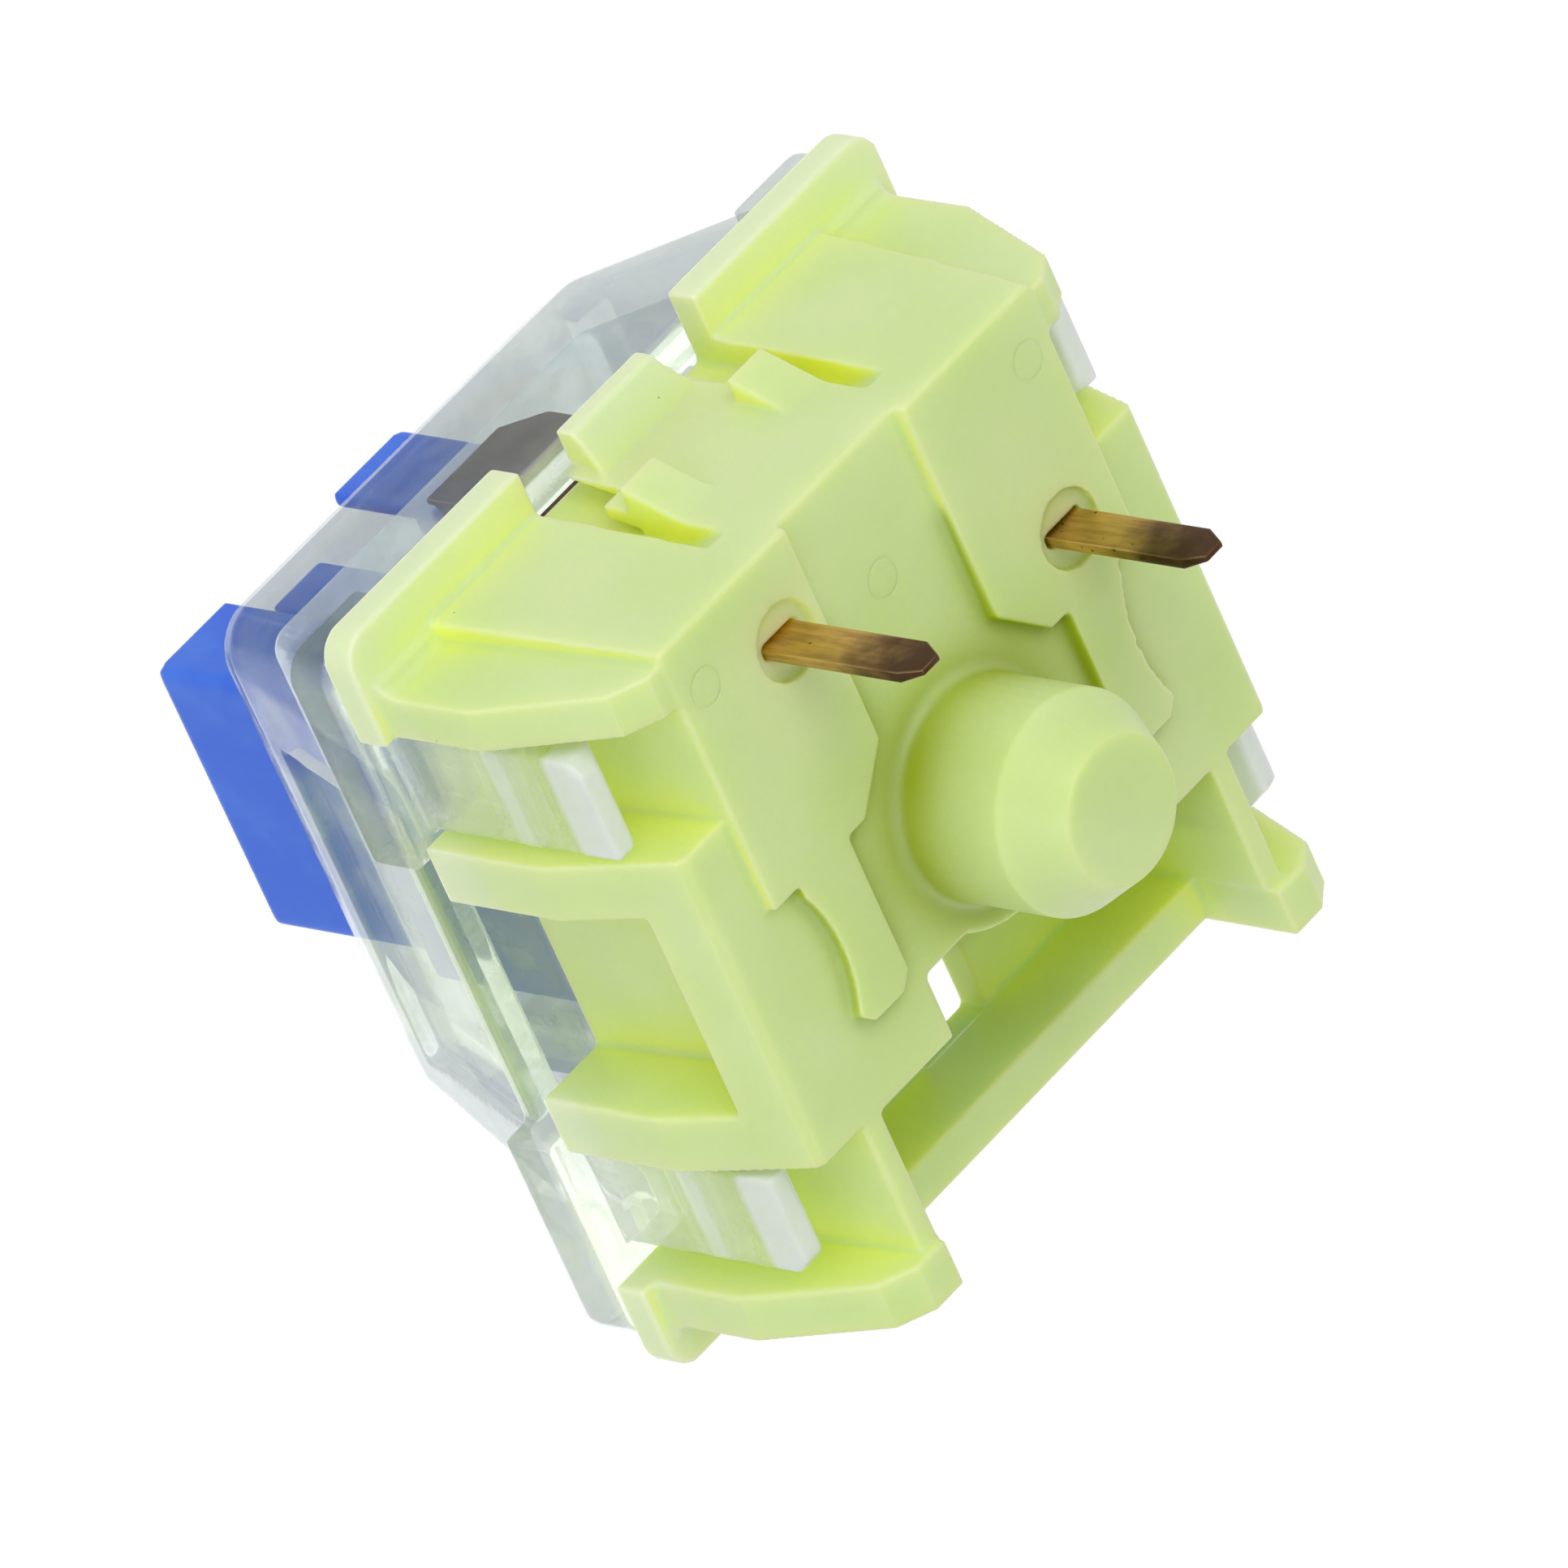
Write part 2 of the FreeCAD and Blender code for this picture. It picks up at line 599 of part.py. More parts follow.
def make_stem():
    slider_half_x = cavity_half_x - slider_clearance
    slider_top = lid_height - lid_roof - roof_clearance
    upper = Part.Face(rounded_outline(stem_half_x, stem_half_y, stem_corner_radius, slider_top))
    upper = upper.extrude(V(0, 0, stem_height - slider_top))

    # cup for the key: room for its socket, and a gap in the north and south walls
    room = fuse([
        box(-stem_half_x + stem_wall, stem_half_x - stem_wall, -stem_half_y + stem_wall,
            stem_half_y - stem_wall, cup_floor, stem_height),
        cylinder(cap_room_radius, cup_floor, stem_height),
        box(-wall_gap_half_x, wall_gap_half_x, -stem_half_y - cut_margin, stem_half_y + cut_margin,
            cup_floor + wall_gap_sill, stem_height),
    ])
    upper = upper.cut(room)
    cross_half = cross_length / 2
    cross_top = stem_height
    cross = fuse([
        box(-cross_half, cross_half, -cross_bar_x / 2, cross_bar_x / 2, cup_floor, cross_top),
        box(-cross_bar_y / 2, cross_bar_y / 2, -cross_half, cross_half, cup_floor, cross_top),
    ])

    # slider, open below, with the pole for the spring
    slider = box(-slider_half_x, slider_half_x, -slider_half_y, slider_half_y, slider_bottom, slider_top)
    hollow = box(-slider_half_x + slider_wall, slider_half_x - slider_wall, -slider_half_y + slider_wall,
                 slider_half_y - slider_wall, slider_bottom, slider_top - slider_deck)
    slider = slider.cut(hollow)
    spring_room = cylinder(spring_mean_radius + spring_wire_radius + spring_room_clearance, slider_bottom,
                           slider_top - slider_deck)
    slider = slider.cut(spring_room)
    pole = cylinder(pole_radius, pole_tip, slider_top - slider_deck)
    tip_edges = [edge for edge in pole.Edges if edge.BoundBox.ZMax < pole_tip + pole_tip_chamfer]
    pole = pole.makeChamfer(pole_tip_chamfer, tip_edges)

    # cams that hold the contact leaf back until the key is pressed
    cam_top = slider_top - cam_head_room
    top_y = cam_y - cam_slope * (cam_top - cam_nose_top)
    root_y = slider_half_y - cam_root
    cam_profile = [(root_y, cam_nose_bottom), (cam_y - cam_nose_radius, cam_nose_bottom),
                   (cam_y, cam_nose_bottom + cam_nose_radius), (cam_y, cam_nose_top), (top_y, cam_top),
                   (root_y, cam_top)]
    cams = []
    for side in (-1, 1):
        x = contact_x + side * ear_offset_x
        cams.append(prism(cam_profile, "x", x - cam_width / 2, x + cam_width / 2))
    return fuse([upper, cross, slider, pole] + cams)


def make_spring():
    seat = spring_seat + spring_end_gap + spring_wire_radius
    top = lid_height - lid_roof - roof_clearance - slider_deck - spring_end_gap - spring_wire_radius
    height = top - seat
    helix = Part.makeHelix(height / spring_turns, height, spring_mean_radius)
    helix.translate(V(0, 0, seat))
    start = V(spring_mean_radius, 0, seat)
    corners = []
    for index in range(spring_wire_sides):
        angle = 2 * math.pi * (index + 0.5) / spring_wire_sides
        corners.append(start + V(math.cos(angle), 0, math.sin(angle)) * spring_wire_radius)
    section = Part.makePolygon(corners + corners[:1])
    return Part.Wire(helix.Edges).makePipeShell([section], True, True)


def pin(x, y, top):
    """Solder pin with a blunt four-sided point."""
    tip = -pin_length
    half_x = pin_width / 2
    half_y = pin_thickness / 2
    end_x = half_x * pin_point_share
    end_y = half_y * pin_point_share
    shaft = box(x - half_x, x + half_x, y - half_y, y + half_y, tip + pin_point, top)
    end = taper_box((x - end_x, x + end_x, y - end_y, y + end_y, tip),
                    (x - half_x, x + half_x, y - half_y, y + half_y, tip + pin_point))
    return [shaft, end]


def make_moving_contact_terminal():
    back = leaf_pin_y + sheet / 2
    front = leaf_pin_y - sheet / 2
    left = contact_x - leaf_neck_half_x
    outline = [(left, floor_top), (terminal_side_x, floor_top),
               (terminal_side_x, terminal_top - terminal_corner),
               (terminal_side_x - terminal_corner, terminal_top), (left, terminal_top)]
    plate = prism(outline, "y", front, back)
    window = box(contact_x + leaf_neck_half_x + terminal_window_gap, terminal_side_x - terminal_side_web,
                 front, back, floor_top + terminal_foot_web, terminal_top - terminal_top_web)
    return fuse([plate.cut(window)] + pin(leaf_pin_x, leaf_pin_y, floor_top))


def make_moving_contact_leaf():
    back = leaf_pin_y - sheet / 2
    front = back - leaf_sheet
    left = contact_x - ear_offset_x
    right = contact_x + ear_offset_x
    neck_left = contact_x - leaf_neck_half_x
    neck_right = contact_x + leaf_neck_half_x
    foot_right = neck_right + leaf_foot_width
    foot_top = leaf_foot + leaf_foot_height
    neck_top = leaf_blade_bottom - leaf_shoulder_height
    outline = [(neck_left, leaf_foot), (foot_right, leaf_foot), (foot_right, foot_top),
               (neck_right, foot_top + leaf_foot_slope), (neck_right, neck_top),
               (right, leaf_blade_bottom), (right, leaf_top), (left + leaf_corner_width, leaf_top),
               (left, leaf_top - leaf_corner_height), (left, leaf_blade_bottom), (neck_left, neck_top)]
    blade = prism(outline, "y", front, back)

    # two ears bent from the blade towards the stem's cams
    ear_root = [(ear_tip_y, ear_bottom), (front - ear_root_step, ear_bottom - ear_root_height),
                (back, ear_bottom - ear_root_height)]
    slope_top = leaf_top - ear_top_step
    slope_foot = slope_top - ear_slope
    nose_top = slope_foot - ear_corner_height
    right_outline = ear_root + [(back, slope_top), (ear_tip_y + ear_corner_length, slope_foot),
                                (ear_tip_y, nose_top)]
    right_ear = prism(right_outline, "x", right - leaf_sheet, right)
    left_top = leaf_top - leaf_corner_height - ear_top_step
    left_outline = ear_root + [(back, left_top), (ear_tip_y, nose_top)]
    left_ear = prism(left_outline, "x", left, left + leaf_sheet)
    return fuse([blade, right_ear, left_ear])


def make_fixed_contact():
    front = fixed_plate_y
    back = fixed_plate_y + sheet
    pin_left = fixed_pin_x - pin_width / 2
    pin_right = fixed_pin_x + pin_width / 2
    tongue_left = contact_x - fixed_tongue_half_x
    tongue_right = contact_x + fixed_tongue_half_x
    corner = fixed_tongue_corner
    root = fixed_tongue_root
    outline = [(pin_left, floor_top), (tongue_right, floor_top), (tongue_right, fixed_tongue_top - corner),
               (tongue_right - corner, fixed_tongue_top), (tongue_left + corner, fixed_tongue_top),
               (tongue_left, fixed_tongue_top - corner), (tongue_left, fixed_plate_top + root),
               (tongue_left - root, fixed_plate_top), (pin_left, fixed_plate_top)]
    plate = prism(outline, "y", front, back)
    foot = box(pin_left, pin_right, fixed_pin_y - pin_thickness / 2, front, floor_top, floor_top + sheet)
    return fuse([plate, foot] + pin(fixed_pin_x, fixed_pin_y, floor_top))


def contact_point(y0, y1):
    return Part.makeCylinder(point_radius, y1 - y0, V(contact_x, y0, contact_z), V(0, 1, 0))


leaf_front = leaf_pin_y - sheet / 2 - leaf_sheet
fixed_back = fixed_plate_y + sheet

parts = {
    "bottom_housing": make_bottom_housing(),
    "top_housing": make_top_housing(),
    "stem": make_stem(),
    "return_spring": make_spring(),
    "moving_contact_terminal": make_moving_contact_terminal(),
    "moving_contact_leaf": make_moving_contact_leaf(),
    "moving_contact_point": contact_point(leaf_front - moving_point_height, leaf_front),
    "fixed_contact": make_fixed_contact(),
    "fixed_contact_point": contact_point(fixed_back, fixed_back + fixed_point_height),
}

for name, shape in parts.items():
    solids = shape.Solids
    if len(solids) == 1:
        shape = solids[0]
    bounds = shape.BoundBox
    print(f"{name}: {len(solids)} solid, {shape.Volume:.2f} mm3, valid {shape.isValid()}, "
          f"z {bounds.ZMin:.2f} to {bounds.ZMax:.2f}")
    shape.exportStep(f"parts/{name}.step")
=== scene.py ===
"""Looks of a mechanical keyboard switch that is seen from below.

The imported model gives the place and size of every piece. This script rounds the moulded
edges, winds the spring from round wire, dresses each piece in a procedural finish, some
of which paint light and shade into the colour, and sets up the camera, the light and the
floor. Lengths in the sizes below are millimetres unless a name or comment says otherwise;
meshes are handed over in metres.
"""

import logging
import math
from dataclasses import dataclass
from enum import Enum
from typing import Any

import bmesh
import bpy
from mathutils import Matrix, Vector


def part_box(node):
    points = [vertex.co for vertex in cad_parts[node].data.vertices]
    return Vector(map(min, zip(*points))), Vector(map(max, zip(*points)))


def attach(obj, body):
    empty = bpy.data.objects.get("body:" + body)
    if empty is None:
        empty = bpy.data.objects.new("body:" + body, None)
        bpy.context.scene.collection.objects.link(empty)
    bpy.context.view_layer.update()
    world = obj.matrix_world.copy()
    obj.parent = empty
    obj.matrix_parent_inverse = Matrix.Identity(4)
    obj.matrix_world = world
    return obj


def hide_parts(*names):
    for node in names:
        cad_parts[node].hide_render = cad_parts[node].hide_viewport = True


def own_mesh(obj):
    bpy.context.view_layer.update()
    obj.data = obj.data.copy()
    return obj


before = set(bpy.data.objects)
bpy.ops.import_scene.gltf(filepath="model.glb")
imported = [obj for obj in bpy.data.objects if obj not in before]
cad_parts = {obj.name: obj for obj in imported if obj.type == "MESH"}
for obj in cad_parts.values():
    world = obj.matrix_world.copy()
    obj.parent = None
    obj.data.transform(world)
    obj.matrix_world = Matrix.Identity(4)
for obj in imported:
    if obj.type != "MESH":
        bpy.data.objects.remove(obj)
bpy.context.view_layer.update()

MM = 0.001
Triple = tuple[float, float, float]
Colour = Triple

log = logging.getLogger("switch")


# Shader building


@dataclass(frozen=True)
class Step:
    """A smooth step from 0 at one value to its full share at another, which may be the lower."""

    start: float
    end: float
    share: float = 1.0


BELOW_ALL = Step(-50.0, -60.0)    # heights under every piece, for metal with no tarnished end


@dataclass(frozen=True)
class Clouds:
    """A noise pattern: spots per millimetre, layers of detail, and factors that draw it out."""

    scale: float
    detail: float = 3.0
    stretch: Triple = (1.0, 1.0, 1.0)


@dataclass(frozen=True)
class Specks:
    """Scattered specks: cells per millimetre, radius in a cell, share of cells, and strength."""

    scale: float
    radius: float
    cells: float
    strength: float


class Expr:
    """A number in a material's tree, for use in ordinary expressions.

    Every operator adds one Math node, so 1 - mask * 0.5 reads as it is meant.
    """

    def __init__(self, tree: "ShaderTree", socket: bpy.types.NodeSocket) -> None:
        """Keeps the tree and the socket that carries the number."""
        self.tree = tree
        self.socket = socket

    def _math(self, operation: str, *values: Any) -> "Expr":
        """Adds a Math node.

        Args:
            operation: The node's operation.
            values: Its inputs in order, numbers or expressions.

        Returns:
            The node's result.
        """
        node = self.tree.add("ShaderNodeMath", {"operation": operation}, dict(enumerate(values)))
        return Expr(self.tree, node.outputs[0])

    def __add__(self, other: Any) -> "Expr":
        """Sum."""
        return self._math("ADD", self, other)

    def __radd__(self, other: Any) -> "Expr":
        """Sum with a number on the left."""
        return self._math("ADD", other, self)

    def __sub__(self, other: Any) -> "Expr":
        """Difference."""
        return self._math("SUBTRACT", self, other)

    def __rsub__(self, other: Any) -> "Expr":
        """Difference from a number on the left."""
        return self._math("SUBTRACT", other, self)

    def __mul__(self, other: Any) -> "Expr":
        """Product."""
        return self._math("MULTIPLY", self, other)

    def __rmul__(self, other: Any) -> "Expr":
        """Product with a number on the left."""
        return self._math("MULTIPLY", other, self)

    def __pow__(self, other: Any) -> "Expr":
        """Power."""
        return self._math("POWER", self, other)

    def __abs__(self) -> "Expr":
        """Size without the sign."""
        return self._math("ABSOLUTE", self)

    def higher(self, other: Any) -> "Expr":
        """The higher of two values."""
        return self._math("MAXIMUM", self, other)

    def ramp(self, step: Step) -> "Expr":
        """Smooth step of the value.

        Args:
            step: Where the step starts and ends, and its full share.

        Returns:
            A mask from 0 to the share.
        """
        node = self.tree.add(
            "ShaderNodeMapRange",
            {"interpolation_type": "SMOOTHSTEP"},
            {"Value": self, "From Min": step.start, "From Max": step.end, "To Max": step.share},
        )
        return Expr(self.tree, node.outputs[0])


class ShaderTree:
    """The nodes of one material or of the world."""

    RAYS = 6                        # rays that look for edges or for open air
    EDGE_TURN = Step(0.01, 0.16)    # how far the normal turns at an edge
    SPECK_CORE = 0.5                # share of a speck's radius that has its full strength
    CELL_CORE = 0.9                 # share of the chosen cells whose speck has its full strength
    MIX_COLOURS = (6, 7)            # the Mix node's two colour inputs; their names repeat
    MIX_RESULT = 2                  # its colour output

    def __init__(self, owner: bpy.types.Material | bpy.types.World) -> None:
        """Empties the owner's node tree, ready for new nodes.

        Args:
            owner: The material or world that holds the tree.
        """
        owner.use_nodes = True
        self.tree = owner.node_tree
        self.tree.nodes.clear()

    def _fill(self, target: bpy.types.NodeSocket, value: Any) -> None:
        """Sets or links one input.

        Args:
            target: The input.
            value: A socket or an expression to link, or a value; colours have three parts.
        """
        if isinstance(value, Expr):
            value = value.socket
        if isinstance(value, bpy.types.NodeSocket):
            self.tree.links.new(value, target)
        elif target.type == "RGBA":
            target.default_value = (*value, 1.0)
        else:
            target.default_value = value

    def add(self, kind: str, settings: dict[str, Any] | None = None,
            sockets: dict[Any, Any] | None = None) -> bpy.types.Node:
        """Adds a node.

        Args:
            kind: The node's type.
            settings: Its properties, which are set first.
            sockets: Values, sockets or expressions for its inputs, by name or number.

        Returns:
            The new node.
        """
        node = self.tree.nodes.new(kind)
        for name, value in (settings or {}).items():
            setattr(node, name, value)
        for name, value in (sockets or {}).items():
            self._fill(node.inputs[name], value)
        return node

    def number(self, kind: str, output: str, settings: dict[str, Any] | None = None,
               sockets: dict[Any, Any] | None = None) -> Expr:
        """Adds a node and gives one of its outputs as an expression."""
        return Expr(self, self.add(kind, settings, sockets).outputs[output])

    def place(self, stretch: Triple = (1.0, 1.0, 1.0)) -> bpy.types.NodeSocket:
        """Position on the piece.

        Args:
            stretch: Factors along X, Y and Z.

        Returns:
            A vector in millimetres of the shared frame at rest, times the factors.
        """
        where = self.add("ShaderNodeTexCoord").outputs["Object"]
        factors = tuple(part / MM for part in stretch)
        return self.add("ShaderNodeVectorMath", {"operation": "MULTIPLY"}, {0: where, 1: factors}).outputs[0]

    def axes(self) -> tuple[Expr, Expr, Expr]:
        """X, Y and Z on the piece in millimetres, as three expressions."""
        parts = self.add("ShaderNodeSeparateXYZ", None, {0: self.place()}).outputs
        return Expr(self, parts[0]), Expr(self, parts[1]), Expr(self, parts[2])

    def noise(self, clouds: Clouds) -> Expr:
        """Cloudy noise, with values about 0.5."""
        sockets = {"Vector": self.place(clouds.stretch), "Scale": clouds.scale, "Detail": clouds.detail}
        return self.number("ShaderNodeTexNoise", "Fac", None, sockets)

    def specks(self, specks: Specks) -> Expr:
        """Small scattered specks.

        Args:
            specks: How large, how many and how strong they are.

        Returns:
            A mask that is the specks' strength on them.
        """
        sockets = {"Vector": self.place(), "Scale": specks.scale}
        cell = self.add("ShaderNodeTexVoronoi", {"feature": "F1"}, sockets)
        near = Expr(self, cell.outputs["Distance"])
        near = near.ramp(Step(specks.radius, specks.radius * self.SPECK_CORE))
        chance = self.number("ShaderNodeSeparateColor", "Red", None, {"Color": cell.outputs["Color"]})
        return near * chance.ramp(Step(specks.cells, specks.cells * self.CELL_CORE, specks.strength))

    def edges(self, width: float) -> Expr:
        """Finds the piece's edges and corners.

        Args:
            width: How far from an edge the mask reaches, in millimetres.

        Returns:
            A mask that is 1 on the edges.
        """
        rounded = self.add("ShaderNodeBevel", {"samples": self.RAYS}, {"Radius": width * MM}).outputs[0]
        plain = self.add("ShaderNodeNewGeometry").outputs["Normal"]
        settings = {"operation": "DOT_PRODUCT"}
        same = self.number("ShaderNodeVectorMath", "Value", settings, {0: rounded, 1: plain})
        return (1 - same).ramp(self.EDGE_TURN)

    def open_air(self, distance: float) -> Expr:
        """Finds how open the surface is.

        Args:
            distance: How far other parts of the same piece can shade it, in millimetres.

        Returns:
            1 on an open face, less in corners and hollows.
        """
        settings = {"samples": self.RAYS, "only_local": True}
        return self.number("ShaderNodeAmbientOcclusion", "AO", settings, {"Distance": distance * MM})

    def mix(self, mask: Expr, first: Any, second: Any) -> bpy.types.NodeSocket:
        """Blends two colours.

        Args:
            mask: 0 for the first, 1 for the second.
            first: Colour or socket.
            second: Colour or socket.

        Returns:
            The blended colour's socket.
        """
        inputs = {0: mask, **dict(zip(self.MIX_COLOURS, (first, second)))}
        return self.add("ShaderNodeMix", {"data_type": "RGBA"}, inputs).outputs[self.MIX_RESULT]

    def blend(self, mask: Expr, first: bpy.types.Node, second: bpy.types.Node) -> bpy.types.Node:
        """Blends two shaders, from all the first at a mask of 0 to all the second at 1."""
        return self.add("ShaderNodeMixShader", None, {0: mask, 1: first.outputs[0], 2: second.outputs[0]})

    def bump(self, height: Expr, depth: float) -> bpy.types.NodeSocket:
        """Raises the surface by a height field.

        Args:
            height: Height from 0 to 1.
            depth: What a height of 1 stands for, in millimetres.

        Returns:
            The normal for a shader.
        """
        sockets = {"Strength": 1.0, "Distance": depth * MM, "Height": height}
        return self.add("ShaderNodeBump", None, sockets).outputs[0]

    def end(self, surface: bpy.types.Node, kind: str = "ShaderNodeOutputMaterial") -> None:
        """Links the last shader to the tree's output node."""
        self.add(kind, None, {"Surface": surface.outputs[0]})


class Finish:
    """Base of the finishes: a named material that its paint method fills with nodes."""

    name: str = "finish"

    def material(self) -> bpy.types.Material:
        """Makes the material.

        Returns:
            The material, with its tree filled.
        """
        found = bpy.data.materials.new(self.name)
        self.paint(ShaderTree(found))
        return found

    def paint(self, tree: ShaderTree) -> None:
        """Fills the tree; each finish has its own."""
        raise NotImplementedError


@dataclass(frozen=True)
class TintedPlastic(Finish):
    """Translucent yellow-green moulding: a painted glow in the thin walls, painted shade in the thick
    floor's hollows, and painted highlights on the rim and edges.

    A step named near or wide runs over how open the air is within that distance, tint_step
    runs over noise, and the rest run over millimetres.
    """

    name: str = "tinted_plastic"
    tint: Colour = (0.71, 0.84, 0.41)
    deep_tint: Colour = (0.67, 0.82, 0.35)
    tint_clouds: Clouds = Clouds(0.35)
    tint_step: Step = Step(0.35, 0.65)
    near_distance: float = 1.2
    wide_distance: float = 3.0
    thin_walls: Step = Step(4.3, 5.0)
    # painted shade: olive for the thick floor's hollows, stronger where the air is more closed in
    hollow_shade_tint: Colour = (0.38, 0.48, 0.015)
    hollow_shade_near: Step = Step(0.95, 0.35, 0.6)
    hollow_shade_wide: Step = Step(0.95, 0.4, 0.95)
    # painted highlight: a paler band round the outer rim near the top
    rim_highlight_tint: Colour = (0.74, 0.82, 0.64)
    rim_heights: Step = Step(4.0, 5.2)
    rim_sides: Step = Step(6.3, 6.9, 0.6)
    # painted glow: bright yellow in the thin walls' corners and hollows
    painted_glow_tint: Colour = (0.86, 0.96, 0.14)
    painted_glow_near: Step = Step(0.92, 0.3)
    painted_glow_wide: Step = Step(0.85, 0.35, 0.75)
    # painted highlight: paler edges where they face open air
    edge_highlight_tint: Colour = (0.86, 0.93, 0.64)
    edge_width: float = 0.13
    edge_highlight_near: Step = Step(0.7, 0.95, 0.7)
    speck_tint: Colour = (0.25, 0.27, 0.08)
    dust: Specks = Specks(1.6, 0.045, 0.12, 0.6)
    flow: Clouds = Clouds(0.8, 2.0, (1.0, 1.0, 0.4))
    flow_share: float = 0.6
    grain: Clouds = Clouds(14.0, 2.0)
    grain_share: float = 0.4
    grain_depth: float = 0.004
    ring_places: tuple[tuple[float, float], ...] = ((4.45, 5.6), (-4.45, 5.6), (0.0, 4.4))
    ring_radius: float = 0.34
    ring_width: Step = Step(0.05, 0.0)
    ring_heights: Step = Step(0.5, 0.3)
    ring_depth: float = 0.02
    roughness: float = 0.36
    roughness_share: float = 0.12
    roughness_clouds: Clouds = Clouds(2.5)
    ior: float = 1.5
    light_reach: Triple = (1.0, 1.0, 0.35)
    reach_scale: float = 0.55

    def _rings(self, tree: ShaderTree) -> Expr:
        """Draws the faint rings that the ejector pins left on the underside.

        Args:
            tree: The material's tree.

        Returns:
            A mask that is 1 in the rings' grooves.
        """
        x, y, height = tree.axes()
        rings = None
        for ring_x, ring_y in self.ring_places:
            away = ((x - ring_x) ** 2 + (y - ring_y) ** 2) ** 0.5
            ring = abs(away - self.ring_radius).ramp(self.ring_width)
            rings = ring if rings is None else rings.higher(ring)
        return rings * height.ramp(self.ring_heights)

    def _colour(self, tree: ShaderTree) -> bpy.types.NodeSocket:
        """Tints the plastic, paints shade into the thick floor's hollows, a glow into the thin walls and
        highlights on the rim and edges, and adds a few specks.

        Args:
            tree: The material's tree.

        Returns:
            The colour's socket.
        """
        x, y, height = tree.axes()
        away = abs(x).higher(abs(y))
        thin = away.ramp(self.thin_walls)
        near = tree.open_air(self.near_distance)
        wide = tree.open_air(self.wide_distance)
        colour = tree.mix(tree.noise(self.tint_clouds).ramp(self.tint_step), self.tint, self.deep_tint)
        # painted shade: the thick floor's hollows turn olive
        shade_in_hollows = near.ramp(self.hollow_shade_near) + wide.ramp(self.hollow_shade_wide)
        colour = tree.mix(shade_in_hollows * (1 - thin), colour, self.hollow_shade_tint)
        # painted highlight: the outer rim turns paler
        rim_highlight = height.ramp(self.rim_heights) * away.ramp(self.rim_sides)
        colour = tree.mix(rim_highlight, colour, self.rim_highlight_tint)
        # painted glow in the corners and hollows of the thin walls
        glow = near.ramp(self.painted_glow_near).higher(wide.ramp(self.painted_glow_wide))
        colour = tree.mix(glow * thin, colour, self.painted_glow_tint)
        # painted highlight on the edges that face open air
        edge = tree.edges(self.edge_width) * near.ramp(self.edge_highlight_near)
        colour = tree.mix(edge, colour, self.edge_highlight_tint)
        return tree.mix(tree.specks(self.dust), colour, self.speck_tint)

    def paint(self, tree: ShaderTree) -> None:
        """Lets light into the tinted plastic, under a fine moulded grain.

        Args:
            tree: The material's tree.
        """
        groove = self.ring_depth / self.grain_depth
        height = tree.noise(self.flow) * self.flow_share + tree.noise(self.grain) * self.grain_share
        height = height - self._rings(tree) * groove
        shader = tree.add("ShaderNodeBsdfPrincipled", {"subsurface_method": "RANDOM_WALK"}, {
            "Base Color": self._colour(tree),
            "Roughness": self.roughness + tree.noise(self.roughness_clouds) * self.roughness_share,
            "IOR": self.ior,
            "Subsurface Weight": 1.0,
            "Subsurface Radius": self.light_reach,
            "Subsurface Scale": self.reach_scale * MM,
            "Normal": tree.bump(height, self.grain_depth),
        })
        tree.end(shader)


@dataclass(frozen=True)
class LidZones:
    """Masks of the clear housing's parts, each from 0 to 1."""

    lid: Expr
    clip: Expr
    north: Expr
    slope: Expr
    clip_band_highlight: Expr
    edge: Expr


